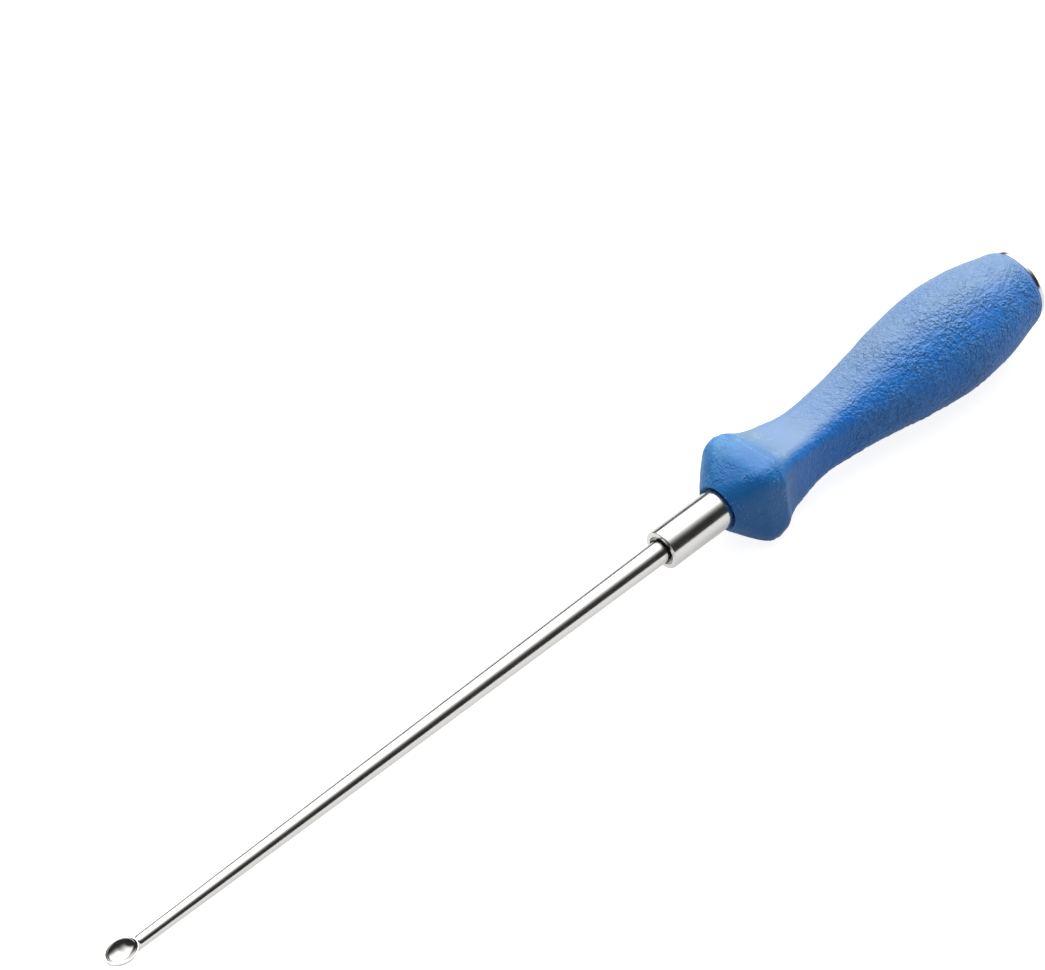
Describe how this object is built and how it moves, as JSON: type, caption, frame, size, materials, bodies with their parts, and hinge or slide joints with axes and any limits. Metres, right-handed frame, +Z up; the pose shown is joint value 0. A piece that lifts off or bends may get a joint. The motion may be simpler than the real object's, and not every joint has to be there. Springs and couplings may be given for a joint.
{
  "type": "bone curette",
  "caption": "Straight surgical bone curette: small oval steel spoon on a long tapered shaft, steel ferrule and a blue moulded silicone grip with a square guard.",
  "frame": {"origin": "middle of the tool's bounding box, on the surface that it lies on", "axes": "+X along the tool from the spoon to the butt, +Z up, out of the spoon's mouth"},
  "size_m": [0.3418, 0.031, 0.031],
  "materials": {
    "steel": "bright polished stainless steel",
    "silicone": "matt blue silicone with a fine wrinkled grain"
  },
  "bodies": {
    "root": {"curette_shaft": "steel", "ferrule": "steel", "grip": "silicone", "end_plate": "steel"}
  },
  "joints": []
}
